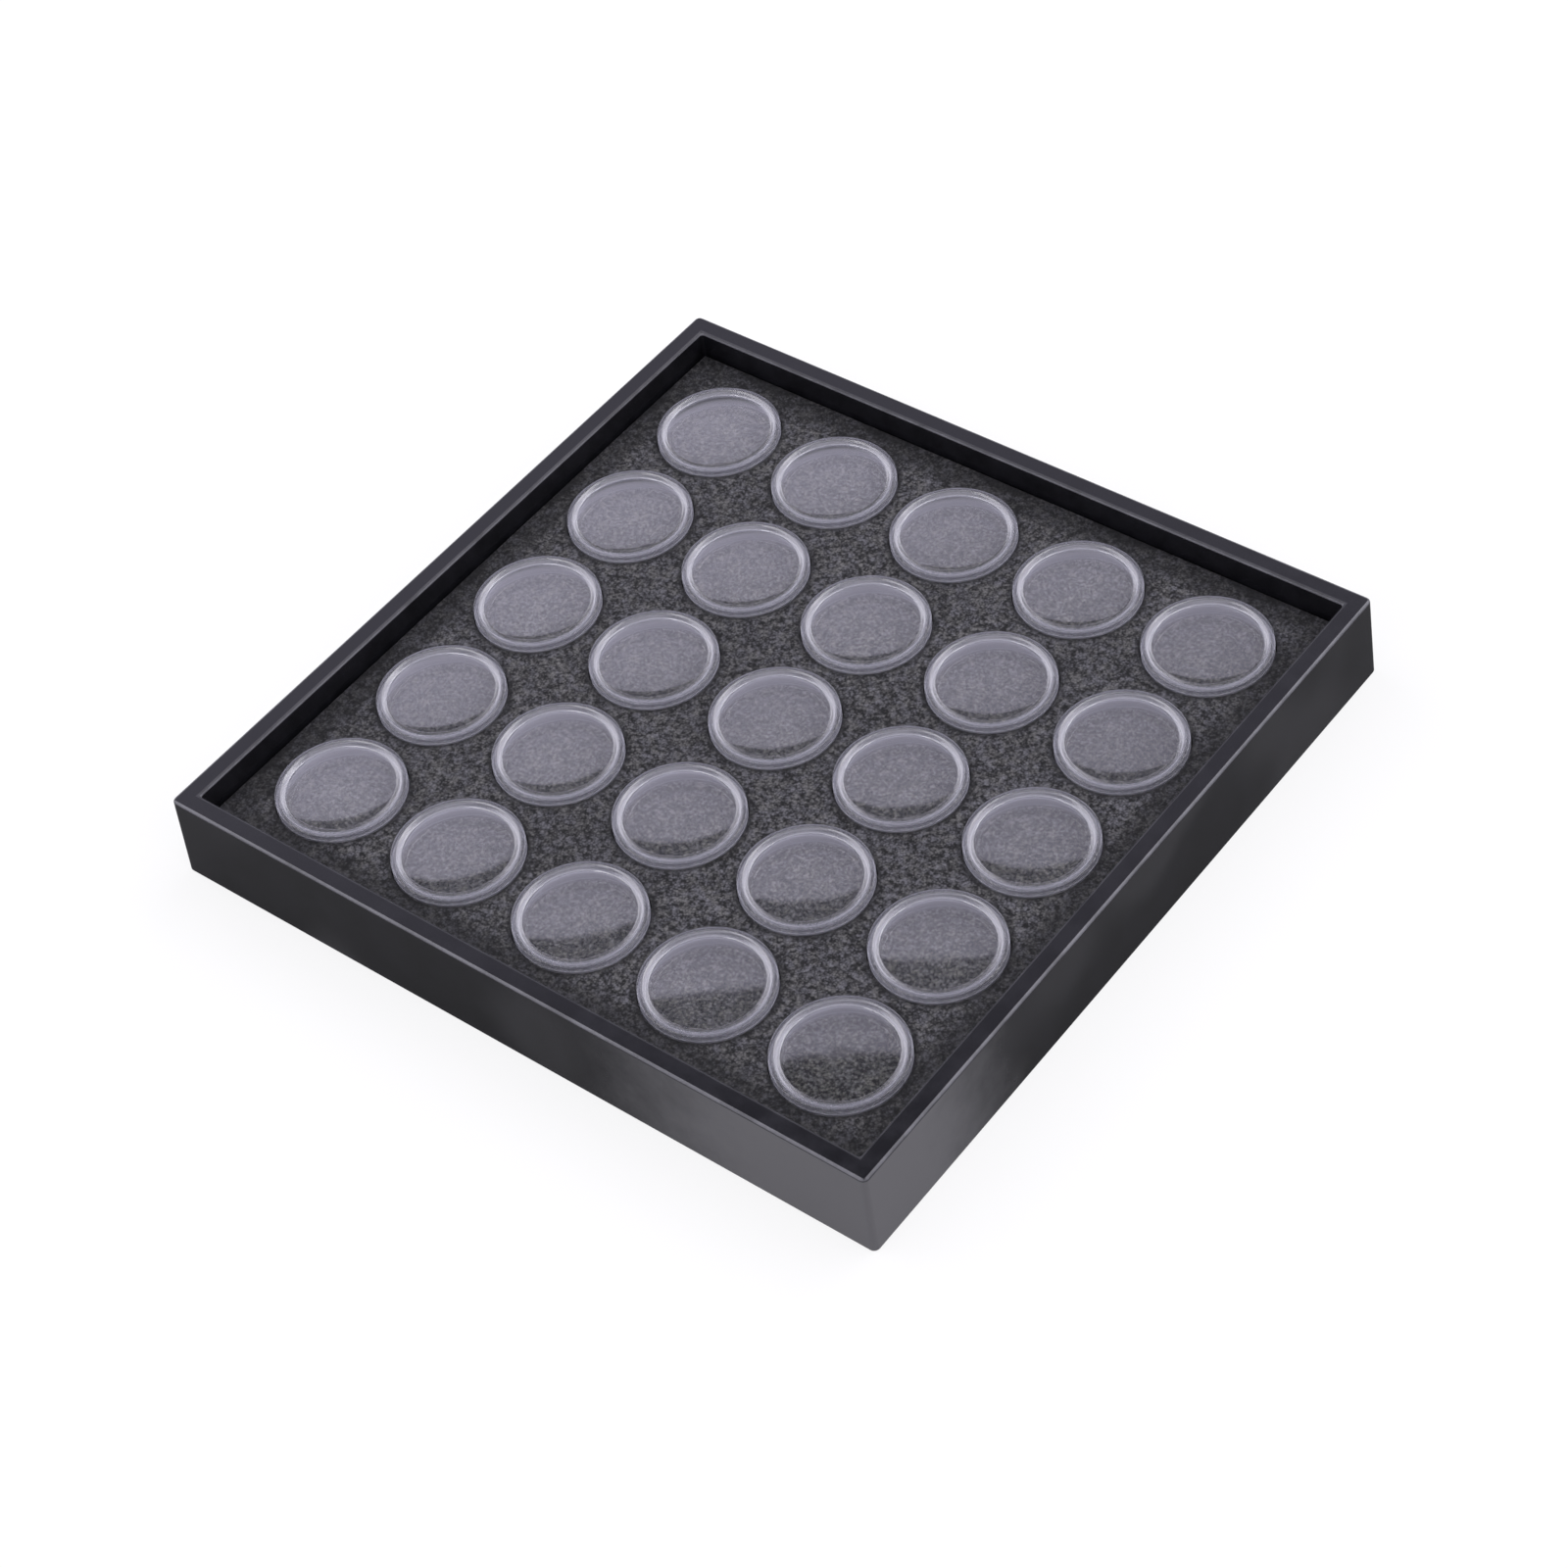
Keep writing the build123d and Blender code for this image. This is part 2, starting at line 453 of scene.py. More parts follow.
def black_plastic(props):
    """Semi-gloss black with the unevenness of a moulding and wiped marks, a painted reflection on the outer walls and
    painted highlight lines along the rim's edges.
    """
    material, shade, output = new_material("black_moulded_plastic")
    position = shade.node("ShaderNodeTexCoord", output=3)
    texture = grain(shade, position, TEXTURE_SIZE)
    ripple = grain(shade, position, RIPPLE_SIZE, 1.0)
    smear = grain(shade, position, SMEAR_SIZE, 4.0, 0.62)
    height = texture * 0.004 + ripple * 0.35
    bump = shade.node("ShaderNodeBump", None, {"Strength": 0.5, "Distance": 0.05 * MM, "Height": height})
    dark = opaque([channel * 0.7 for channel in props.black])
    light = opaque([channel * 1.2 for channel in props.black])
    painted_reflection_colour = opaque([channel + props.painted_light for channel in props.black])
    across, along, up = position.axes(3)
    top = Vector((TRAY_HIGH.x, TRAY_HIGH.y)) - Vector((1, 1)) * TRAY_HIGH.z * math.tan(props.skirt_draft)
    inwards = (top.x - across.absolute()).lesser(top.y - along.absolute())
    # Painted reflection on the outer walls, and painted highlight lines along both edges of the rim
    painted_reflection = painted_wall_reflection(shade, position, smear, inwards)
    painted_edge_highlight = painted_rim_highlights(props, inwards, TRAY_HIGH.z - up) * smear.between(0.2, 0.7, 0.5, 1.0)
    plain = smear.between(0.35, 0.65).blend(dark, light)
    principled = shade.node(
        "ShaderNodeBsdfPrincipled",
        None,
        {
            "Base Color": painted_edge_highlight.blend(painted_reflection.blend(plain, painted_reflection_colour), opaque(HIGHLIGHT_GREY)),
            "Roughness": smear.between(0.3, 0.7, props.gloss - 0.03, props.gloss + 0.05),
            "IOR": PLASTIC_IOR,
            "Specular IOR Level": 0.42,
            "Normal": bump,
        },
    )
    shade.tree.links.new(principled.socket, output.inputs["Surface"])
    return material


# Foam
WALL_DARK = 0.46                     # painted shade: share of the foam's lightness left along the walls
POCKET_DARK = 0.35                   # and round a pocket, also painted shade
WARM_TINT = (1.01, 1.0, 0.96)
COOL_TINT = (0.99, 0.99, 1.06)
SHEET_GAIN = (1.0, 1.0, 1.0)
PAD_PAINTED_LIGHT = (1.52, 1.52, 1.42)        # painted light: the pad under the capsules is coloured lighter than the cut sheet, to make up for the shade it lies in


def border(props, position):
    """Painted shade: falls from one inside the foam to a low value along the tray's walls and round the pockets."""
    across, along = position.axes(2)
    sides = []
    for value, edge, first, pitch in (
        (across, SHEET_HIGH.x, FIRST_BASE_LOW.x, COLUMN_PITCH), (along, SHEET_HIGH.y, FIRST_BASE_LOW.y, ROW_PITCH)
    ):
        from_wall = edge - value.absolute()
        local = value - (first + CAPSULE_RADIUS)
        sides.append((from_wall, local.math("WRAP", local, pitch / 2, -pitch / 2)))
    (wall_x, local_x), (wall_y, local_y) = sides
    inside = wall_x.lesser(wall_y).between(0.5 * props.wall_shade, props.wall_shade, WALL_DARK, 1.0)
    pocket = CAPSULE_RADIUS + props.pocket_gap
    squares = local_x * local_x + local_y * local_y
    around = squares.math("SQRT", squares).between(pocket, pocket + props.pocket_shade, POCKET_DARK, 1.0)
    return inside * around


def speckled_foam(name, props, brightness, shaded):
    """Cut foam: pale cell walls round dark hollows."""
    material, shade, output = new_material(name)
    position = shade.node("ShaderNodeTexCoord", output=3)
    clumps = grain(shade, position, props.cell * 2.2, 2.0, 0.6)
    cells = grain(shade, position, props.cell * 0.9, 2.0, 0.55)
    flecks = shade.node("ShaderNodeTexVoronoi", None, {"Vector": position, "Scale": 1.0 / (0.62 * props.cell)})
    wash = grain(shade, position, 28 * MM, 2.0)
    warmth = grain(shade, position, props.cell * 2.5, 1.0)
    speck = clumps * 0.3 + cells * 0.55 + flecks.between(0.1, 0.7, 0.12, 0.0)
    pale = speck.between(0.32, 0.72) * wash.between(0.2, 0.8, 0.85, 1.15)
    if shaded:
        # Painted shade along the walls and round the pockets
        pale = pale * border(props, position)
    warm, cool = (
        opaque([channel * part * gain for channel, part, gain in zip(props.light, tint, brightness)])
        for tint in (WARM_TINT, COOL_TINT)
    )
    light = warmth.between(0.35, 0.65).blend(warm, cool)
    dark = opaque([channel * gain for channel, gain in zip(props.dark, brightness)])
    bump = shade.node("ShaderNodeBump", None, {"Strength": 0.4, "Distance": 0.3 * MM, "Height": speck})
    principled = shade.node(
        "ShaderNodeBsdfPrincipled",
        None,
        {
            "Base Color": pale.clamped().blend(dark, light),
            "Roughness": 0.85,
            "Specular IOR Level": 0.25,
            "Normal": bump,
        },
    )
    shade.tree.links.new(principled.socket, output.inputs["Surface"])
    return material


CLEAR_COLOUR = (0.986, 0.987, 0.986)


def clear_plastic(name, props):
    """Clear plastic: see-through, with whitish painted light where it is thick, mirroring by angle like the surfaces
    that lie there.
    """
    material, shade, output = new_material(name)
    painted_light = shade.node("ShaderNodeAttribute", {"attribute_name": "painted_light"}, output=2)
    surfaces = shade.node("ShaderNodeAttribute", {"attribute_name": "surfaces"}, output=2)
    outward = 1 - shade.node("ShaderNodeNewGeometry", output=6)
    position = shade.node("ShaderNodeTexCoord", output=3)
    wave = grain(shade, position, 9 * MM, 1.0)
    bump = shade.node("ShaderNodeBump", None, {"Strength": 0.3, "Distance": 0.04 * MM, "Height": wave})
    passed = 1 - shade.node("ShaderNodeFresnel", None, {"IOR": CLEAR_IOR})
    mirror = (1 - passed.math("POWER", passed, surfaces)) * outward
    clear = shade.node("ShaderNodeBsdfTransparent", None, {"Color": opaque(CLEAR_COLOUR)})
    # Painted light: a whitish diffuse colour in place of the light that the thick plastic gathers and refracts
    milky = shade.node("ShaderNodeBsdfDiffuse", None, {"Color": opaque(props.tint)})
    body = shade.node("ShaderNodeMixShader", None, {0: painted_light, 1: clear, 2: milky})
    roughness = painted_light.between(0.0, 0.06, 0.05, 0.24)
    gloss = shade.node("ShaderNodeBsdfAnisotropic", None, {"Color": WHITE, "Roughness": roughness, "Normal": bump})
    surface = shade.node("ShaderNodeMixShader", None, {0: mirror.clamped(), 1: body, 2: gloss})
    shade.tree.links.new(surface.socket, output.inputs["Surface"])
    return material


# ---------------------------------------------------------------- the tray
def model_tray(props):
    """One closed mesh: flared skirt, flat hollow rim, drafted inner wall, raised floor, open underside."""
    foot = Vector((TRAY_HIGH.x - TRAY_LOW.x, TRAY_HIGH.y - TRAY_LOW.y))
    height = TRAY_HIGH.z - TRAY_LOW.z
    flare = height * math.tan(props.skirt_draft)
    rim = foot - Vector((2 * flare, 2 * flare))
    opening = rim - Vector((2 * props.rim_width, 2 * props.rim_width))
    floor_top = PAD_LOW.z
    inset = (height - floor_top) * math.tan(props.wall_draft)
    floor_under = floor_top - props.floor_thickness

    bpy.ops.mesh.primitive_cube_add(size=1, location=(0, 0, height / 2), scale=(foot.x, foot.y, height))
    tray = begin("tray_moulding")
    pick(tray, "FACE", faces_up)
    bpy.ops.transform.resize(value=(rim.x / foot.x, rim.y / foot.y, 1))
    bpy.ops.mesh.inset(thickness=props.rim_width, depth=0)
    raise_by(floor_top - height)
    bpy.ops.transform.resize(value=(1 - 2 * inset / opening.x, 1 - 2 * inset / opening.y, 1))

    pick(tray, "FACE", faces_down)
    bpy.ops.mesh.inset(thickness=props.wall, depth=0)
    raise_by(floor_under)
    skirt_inside = foot / 2 - Vector((props.wall, props.wall))
    wall_outside = opening / 2 + Vector((props.wall, props.wall))
    gutter = skirt_inside.x - wall_outside.x + (height - floor_under) * math.tan(props.wall_draft)
    bpy.ops.mesh.inset(thickness=gutter, depth=0)
    pick(tray, "FACE", lambda face: faces_down(face) and is_level(face, floor_under) and len(face.verts) == 4
         and max(abs(face.calc_center_median().x), abs(face.calc_center_median().y)) > opening.x / 4)
    gutter_top = height - props.wall
    raise_by(gutter_top - floor_under)
    ends = (gutter_top - floor_under) * math.tan(props.skirt_draft)
    pick(tray, "VERT", lambda corner: near(corner.co.z, gutter_top) and abs(corner.co.x) > wall_outside.x + gutter / 2)
    bpy.ops.transform.resize(value=(1 - ends / skirt_inside.x, 1 - ends / skirt_inside.y, 1))
    pick(tray, "VERT", lambda corner: near(corner.co.z, gutter_top) and abs(corner.co.x) < wall_outside.x + gutter / 3)
    corner = next(v.co for v in bmesh.from_edit_mesh(tray.data).verts if v.select)
    bpy.ops.transform.resize(value=(wall_outside.x / abs(corner.x), wall_outside.y / abs(corner.y), 1))

    def upright(edge, lowest, highest, reach):
        low, high = sorted(corner.co.z for corner in edge.verts)
        outer = max(abs(corner.co.x) for corner in edge.verts)
        return near(low, lowest, 0.1 * MM) and near(high, highest, 0.1 * MM) and near(outer, reach, 0.3 * MM)

    pick(tray, "EDGE", lambda edge: upright(edge, 0, height, foot.x / 2))
    bevel(props.outer_corner, 8)
    pick(tray, "EDGE", lambda edge: upright(edge, floor_top, height, opening.x / 2))
    bevel(props.inner_corner, 6)
    pick(tray, "EDGE", lambda edge: is_level(edge, height) and is_corner(edge))
    bevel(props.rim_edge, 7)
    pick(tray, "EDGE", lambda edge: is_level(edge, 0) and is_corner(edge) and any(
        abs(face.normal.z) < 0.2 and face.normal.dot(face.calc_center_median()) > 0 for face in edge.link_faces))
    bevel(props.foot_edge, 3)
    bpy.ops.mesh.select_all(action="SELECT")
    bpy.ops.mesh.normals_make_consistent(inside=False)
    bpy.ops.object.mode_set(mode="OBJECT")
    return tray


def model_webs(props):
    """The stiffening webs across the hollow rim, evenly spread along all four sides."""
    height = TRAY_HIGH.z
    flare = height * math.tan(props.skirt_draft)
    half = Vector((TRAY_HIGH.x - flare, TRAY_HIGH.y - flare))
    reach = props.rim_width - props.wall
    tall = props.web_depth - props.wall
    level = height - props.wall - tall / 2
    webs = []
    for along_axis, across_axis in ((0, 1), (1, 0)):
        free = 2 * (half[along_axis] - props.rim_width)
        count = int(free / props.web_spacing) + 1
        for index in range(1, count):
            for side in (-1, 1):
                place = [0, 0, level]
                place[along_axis] = index * free / count - free / 2
                place[across_axis] = side * (half[across_axis] - props.rim_width / 2)
                size = [0, 0, tall]
                size[along_axis] = props.web_thickness
                size[across_axis] = reach
                deselect()
                bpy.ops.mesh.primitive_cube_add(size=1, location=place, scale=size)
                bpy.ops.object.transform_apply(location=True, rotation=True, scale=True)
                webs.append(bpy.context.active_object)
    deselect()
    for web in webs:
        web.select_set(True)
    bpy.context.view_layer.objects.active = webs[0]
    bpy.ops.object.join()
    return webs[0]


# ---------------------------------------------------------------- the foam
MARGIN_STEPS = 5


def foam_relief(piece, props):
    """Sinks the hollows of the cut cells into the foam's face."""
    cells = bpy.data.textures.new(piece.name + "_cells", "CLOUDS")
    cells.noise_scale = props.cell
    cells.noise_depth = 1
    apply_modifier(piece, "DISPLACE", texture=cells, strength=props.relief, mid_level=1.0, direction="Z",
                   texture_coords="LOCAL")


def close_underneath(piece, bottom):
    """Pulls the open edges down to the given level and fills them there."""
    open_piece(piece)
    pick(piece, "EDGE", lambda edge: edge.is_boundary)
    highest = max(corner.co.z for corner in bmesh.from_edit_mesh(piece.data).verts)
    bpy.ops.mesh.extrude_edges_move(TRANSFORM_OT_translate={"value": (0, 0, bottom - highest)})
    bpy.ops.transform.resize(value=(1, 1, 0), center_override=(0, 0, bottom))
    bpy.ops.mesh.fill()


def model_pocket_cell(props):
    """One cell of the sheet: a round pocket's edge bridged to the cell's four sides."""
    top = SHEET_HIGH.z
    deselect()
    bpy.ops.mesh.primitive_plane_add(size=1, location=(0, 0, top))
    side = bpy.context.active_object
    side.scale = (COLUMN_PITCH, ROW_PITCH, 1)
    bpy.ops.object.transform_apply(location=True, rotation=True, scale=True)
    open_piece(side)
    bpy.ops.mesh.select_all(action="SELECT")
    bpy.ops.mesh.delete(type="ONLY_FACE")
    bpy.ops.mesh.select_all(action="SELECT")
    bpy.ops.mesh.subdivide(number_cuts=props.around // 4 - 1)
    deselect()
    pocket = CAPSULE_RADIUS + props.pocket_gap
    bpy.ops.mesh.primitive_circle_add(vertices=props.around, radius=pocket, location=(0, 0, top))
    cell = bpy.context.active_object
    bpy.ops.object.transform_apply(location=True, rotation=True, scale=True)
    side.select_set(True)
    bpy.ops.object.join()
    open_piece(cell)
    bpy.ops.mesh.select_all(action="SELECT")
    bpy.ops.mesh.bridge_edge_loops(number_cuts=props.across, interpolation="LINEAR")
    bpy.ops.mesh.select_all(action="SELECT")
    bpy.ops.mesh.normals_make_consistent(inside=False)
    bpy.ops.object.mode_set(mode="OBJECT")
    return cell


def model_foam_sheet(props):
    """The upper sheet: the cell repeated over the grid, a margin grown round it, and its cut face roughened."""
    sheet = model_pocket_cell(props)
    for count, offset in ((COLUMNS, (COLUMN_PITCH, 0, 0)), (ROWS, (0, ROW_PITCH, 0))):
        apply_modifier(sheet, "ARRAY", count=count, use_relative_offset=False, use_constant_offset=True,
                       constant_offset_displace=offset, use_merge_vertices=True, merge_threshold=0.02 * MM)
    shift = Vector(((COLUMNS - 1) * COLUMN_PITCH, (ROWS - 1) * ROW_PITCH, 0)) / -2
    sheet.data.transform(Matrix.Translation(shift))
    sheet.name = "foam_with_pockets"
    sheet.data.name = sheet.name

    grid = Vector((COLUMNS * COLUMN_PITCH, ROWS * ROW_PITCH)) / 2
    outline = Vector((SHEET_HIGH.x - SHEET_LOW.x, SHEET_HIGH.y - SHEET_LOW.y)) / 2
    open_piece(sheet)
    pick(sheet, "EDGE", lambda edge: edge.is_boundary and any(
        all(near(abs(corner.co[axis]), grid[axis]) for corner in edge.verts) for axis in (0, 1)))
    for step in range(1, MARGIN_STEPS + 1):
        before = grid.lerp(outline, (step - 1) / MARGIN_STEPS)
        after = grid.lerp(outline, step / MARGIN_STEPS)
        growth = (after.x / before.x, after.y / before.y, 1)
        bpy.ops.mesh.extrude_edges_move()
        bpy.ops.transform.resize(value=growth, center_override=(0, 0, SHEET_HIGH.z))
    bpy.ops.object.mode_set(mode="OBJECT")
    foam_relief(sheet, props)
    close_underneath(sheet, SHEET_LOW.z)
    close(sheet, FOAM_SMOOTH)
    return sheet


def model_foam_pad(props):
    """The plain sheet below, which shows through the capsules' windows."""
    size = PAD_HIGH - PAD_LOW
    steps = 220
    deselect()
    bpy.ops.mesh.primitive_grid_add(x_subdivisions=steps, y_subdivisions=steps, size=1, location=(0, 0, PAD_HIGH.z))
    pad = bpy.context.active_object
    pad.name = "foam_under_capsules"
    pad.data.name = pad.name
    pad.scale = (size.x, size.y, 1)
    bpy.ops.object.transform_apply(location=True, rotation=True, scale=True)
    foam_relief(pad, props)
    close_underneath(pad, PAD_LOW.z)
    close(pad, FOAM_SMOOTH)
    return pad


# ---------------------------------------------------------------- the capsules
SLOPE_STEPS = ((0.24, 0.14), (0.26, 0.30), (0.28, 0.36), (0.22, 0.20))
DOME_STEPS = (0.985, 0.96, 0.93, 0.89, 0.84, 0.77, 0.68, 0.55, 0.4, 0.25, 0.1)


def ring_radius(element):
    """Largest distance of an element's corners from the middle of the capsule."""
    return max(math.hypot(corner.co.x, corner.co.y) for corner in element.verts)


def along_ring(edge):
    """True for an edge that runs round the capsule, false for one that crosses its ring."""
    first, second = (math.hypot(corner.co.x, corner.co.y) for corner in edge.verts)
    return near(first, second)


def round_edge(piece, radius, segments, test):
    """Rounds the edges that run round the capsule and pass the test."""
    pick(piece, "EDGE", lambda edge: along_ring(edge) and test(edge))
    bevel(radius, segments)


def outermost(edge):
    return near(ring_radius(edge), CAPSULE_RADIUS)


def inset_slope(width, drop):
    """Takes the selected round face inwards and down over a rounded slope."""
    for inwards, down in SLOPE_STEPS:
        bpy.ops.mesh.inset(thickness=inwards * width, depth=-down * drop)


def inset_dome(radius, rise, edge_rise):
    """Takes the selected round face inwards over a shallow dome that bends down more at its edge."""
    before, height = 1.0, 0.0
    for after in DOME_STEPS:
        level = rise * (1 - after ** 2) + edge_rise * (1 - after ** 8)
        bpy.ops.mesh.inset(thickness=(before - after) * radius, depth=level - height)
        before, height = after, level


def stain(piece, attribute, value_at):
    """Stores a value in each corner, from the corner's radius and height."""
    layer = piece.data.attributes.new(attribute, "FLOAT", "POINT")
    for corner, value in zip(piece.data.vertices, layer.data):
        value.value = value_at(math.hypot(corner.co.x, corner.co.y), corner.co.z)


def ramp(value, low, high):
    return min(max((value - low) / (high - low), 0.0), 1.0)


def model_lid(props):
    """A clear cap at the middle of the tray: skirt, raised ring with a bead, sloping down to a domed window."""
    low, high = FIRST_LID_LOW.z, FIRST_LID_HIGH.z
    seat = props.seat_diameter / 2
    guard = CAPSULE_RADIUS - props.guard_width
    step = 0.12 * MM
    shoulder = high - props.bead_rise
    deselect()
    bpy.ops.mesh.primitive_cylinder_add(
        vertices=props.around, radius=CAPSULE_RADIUS, depth=shoulder - low, location=(0, 0, (shoulder + low) / 2)
    )
    lid = begin("capsule_cap")
    pick(lid, "FACE", faces_up)
    bpy.ops.mesh.inset(thickness=props.guard_width - props.bead_width / 2, depth=0)
    bpy.ops.mesh.inset(thickness=step, depth=props.bead_rise)
    bpy.ops.mesh.inset(thickness=props.bead_width / 2 - step, depth=0)
    inset_slope(guard - seat, props.guard_height)
    inset_dome(seat, props.dome, props.dome_edge)
    pick(lid, "FACE", faces_down)
    bpy.ops.mesh.inset(thickness=props.skirt, depth=0)
    raise_by(props.tongue_height + props.tongue_play)

    round_edge(lid, props.edge, 5, lambda edge: is_level(edge, shoulder) and outermost(edge))
    round_edge(lid, 0.08 * MM, 3, lambda edge: is_level(edge, high) and ring_radius(edge) > guard + 0.1 * MM)
    round_edge(lid, 0.12 * MM, 2, lambda edge: is_level(edge, low) and outermost(edge))
    close(lid, CAPSULE_SMOOTH)

    # Painted light on the lid's ring and its outer side, weaker towards the bottom of the side
    def painted_light_at(radius, height):
        if height < shoulder - 2 * props.edge and radius < CAPSULE_RADIUS - props.edge:
            return 0.0
        side = ramp(radius, CAPSULE_RADIUS - 0.6 * props.edge, CAPSULE_RADIUS)
        side *= ramp(shoulder - height, 0.1 * props.edge, 0.8 * props.edge)
        side_painted_light = props.side_painted_light * (0.1 + 0.9 * ramp(height, low, shoulder - props.edge))
        return props.ring_painted_light * ramp(radius, seat, seat + step) * (1 - side) + side_painted_light * side

    stain(lid, "painted_light", painted_light_at)
    stain(lid, "surfaces", lambda radius, height: 3 - 2 * ramp(radius, guard, guard + 4 * step))
    return lid


def model_cup(props):
    """A clear cup at the middle of the tray: guard ring and window below, coin seat, tongue round the mouth."""
    low = FIRST_BASE_LOW.z
    tongue_top = FIRST_BASE_HIGH.z
    seam = tongue_top - props.tongue_height
    seat = props.seat_diameter / 2
    guard = CAPSULE_RADIUS - props.guard_width
    tongue = CAPSULE_RADIUS - props.skirt - props.tongue_play
    seat_floor = low + props.guard_height + props.base_window
    deselect()
    bpy.ops.mesh.primitive_cylinder_add(
        vertices=props.around, radius=CAPSULE_RADIUS, depth=seam - low, location=(0, 0, (seam + low) / 2)
    )
    cup = begin("capsule_cup")
    pick(cup, "FACE", faces_up)
    bpy.ops.mesh.inset(thickness=CAPSULE_RADIUS - tongue, depth=0)
    raise_by(props.tongue_height)
    bpy.ops.mesh.inset(thickness=(tongue - seat) / 2, depth=0)
    bpy.ops.mesh.inset(thickness=(tongue - seat) / 2, depth=0)
    raise_by(seat_floor - tongue_top)
    pick(cup, "FACE", faces_down)
    bpy.ops.mesh.inset(thickness=CAPSULE_RADIUS - guard, depth=0)
    inset_slope(guard - seat, props.guard_height)

    round_edge(cup, 0.15 * MM, 3, lambda edge: outermost(edge) and (is_level(edge, low) or is_level(edge, seam)))
    round_edge(cup, 0.4 * MM, 4, lambda edge: near(ring_radius(edge), seat, 0.05 * MM) and is_level(edge, seat_floor))
    round_edge(cup, 0.08 * MM, 2, lambda edge: is_level(edge, tongue_top) and is_corner(edge))
    close(cup, CAPSULE_SMOOTH)
    middle = (tongue + seat) / 2

    # Painted light across the cup's mouth, strongest in its middle, and on its outer side
    def painted_light_at(radius, height):
        if height > tongue_top - 0.2 * MM:
            return props.mouth_painted_light * (1 - 0.8 * ramp(abs(radius - middle), 0, tongue - middle))
        return props.side_painted_light * ramp(radius, tongue, CAPSULE_RADIUS)

    stain(cup, "painted_light", painted_light_at)
    stain(cup, "surfaces", lambda radius, height: 1.0)
    return cup


def spread(pattern, boxes, first_low, name, body, node, material):
    """Copies a capsule part from the middle of the tray to each of its places."""
    for key, (low, high) in boxes.items():
        middle = (low + high) / 2
        shift = Vector((middle.x, middle.y, low.z - first_low))
        copy = copy_to(pattern, f"{name}_{key}", shift)
        dress(copy, f"{body}_{key}", f"{node}_{key}", material)
    bpy.data.objects.remove(pattern)


# ---------------------------------------------------------------- the stage
def horizontal(azimuth):
    return Vector((math.cos(azimuth), math.sin(azimuth), 0))


def direction(azimuth, elevation):
    return horizontal(azimuth) * math.cos(elevation) + Vector((0, 0, math.sin(elevation)))


def pale_floor(props):
    """Pale floor that a lens sees as white paper, with the soft shadow of what stands on it."""
    material, shade, output = new_material("pale_floor")
    camera_ray, glossy_ray, transmission_ray = (
        shade.node("ShaderNodeLightPath", output=f"Is {kind} Ray") for kind in ("Camera", "Glossy", "Transmission")
    )
    seen = (camera_ray + transmission_ray + glossy_ray * props.floor_mirrored).clamped()
    paper = shade.node("ShaderNodeBsdfDiffuse", None, {"Color": opaque(props.floor_colour)})
    glow = shade.node("ShaderNodeEmission", None, {"Color": WHITE, "Strength": props.floor_glow})
    white = shade.node("ShaderNodeAddShader", None, {0: paper, 1: glow})
    surface = shade.node("ShaderNodeMixShader", None, {0: seen, 1: paper, 2: white})
    shade.tree.links.new(surface.socket, output.inputs["Surface"])
    return material


def set_surroundings(props):
    """A long softbox beyond the tray, a dim backdrop under it and pale walls around; a lens sees white instead."""
    world = bpy.data.worlds.new("studio")
    bpy.context.scene.world = world
    world.use_nodes = True
    world.node_tree.nodes.clear()
    output = world.node_tree.nodes.new("ShaderNodeOutputWorld")
    shade = Shade(world.node_tree)
    looking = shade.node("ShaderNodeTexCoord", output=0)
    rise = shade.node("ShaderNodeSeparateXYZ", None, {0: looking}, output=2)
    away = -horizontal(props.camera_azimuth)
    across = Vector((-away.y, away.x, 0))
    far, beside = (
        shade.node("ShaderNodeVectorMath", {"operation": "DOT_PRODUCT"}, {0: looking, 1: line}, output=1)
        for line in (away, across)
    )
    sides = beside.absolute().between(0.18, 0.42)
    behind = far.between(-0.2, 0.1)
    dim = props.near_light * (1 - behind) + props.backdrop_light * behind
    low_side = rise.between(0.17, 0.34, 1.0, 0.0)
    side_light = low_side * props.near_light + (1 - low_side) * props.side_light
    walls = dim * (1 - sides) + side_light * sides
    lower, upper = math.sin(props.softbox_low), math.sin(props.softbox_high)
    softbox = rise.between(lower - 0.03, lower + 0.03) * far.between(0.25, 0.45) * (1 - sides)
    fade = rise.between(lower, upper, 1 + props.softbox_fade, 1.0) * (1 + beside * props.softbox_left)
    fade = fade * props.softbox_light
    below = walls * (1 - softbox) + fade * softbox
    above = (rise + beside * props.softbox_slant).between(upper - 0.006, upper + 0.006)
    overhead = rise.between(math.sin(props.top_low) - 0.02, math.sin(props.top_low) + 0.02)
    strength = below * (1 - above) + (props.gap_light * (1 - overhead) + props.top_light * overhead) * above
    tint = softbox.blend(opaque(props.wall_tint), opaque(props.softbox_tint))
    light = shade.node("ShaderNodeBackground", None, {"Color": tint, "Strength": strength})
    white = shade.node("ShaderNodeBackground", None, {"Color": WHITE, "Strength": 1.0})
    camera_ray = shade.node("ShaderNodeLightPath", output="Is Camera Ray")
    surface = shade.node("ShaderNodeMixShader", None, {0: camera_ray, 1: light, 2: white})
    shade.tree.links.new(surface.socket, output.inputs["Surface"])


def set_lamps(props):
    """Two soft lamps, left and right beyond the tray, outside what the windows mirror."""
    for name, turn in (("lamp_left", props.lamp_spread), ("lamp_right", -props.lamp_spread)):
        lamp = bpy.data.lights.new(name, "AREA")
        lamp.energy = props.lamp_power
        lamp.size = props.lamp_size
        lamp.color = props.lamp_tint
        carrier = bpy.data.objects.new(name, lamp)
        bpy.context.scene.collection.objects.link(carrier)
        towards = direction(props.camera_azimuth + math.pi + turn, props.lamp_elevation)
        carrier.location = towards * props.lamp_distance
        carrier.rotation_mode = "QUATERNION"
        carrier.rotation_quaternion = (-towards).to_track_quat("-Z", "Y")
        carrier.visible_camera = False


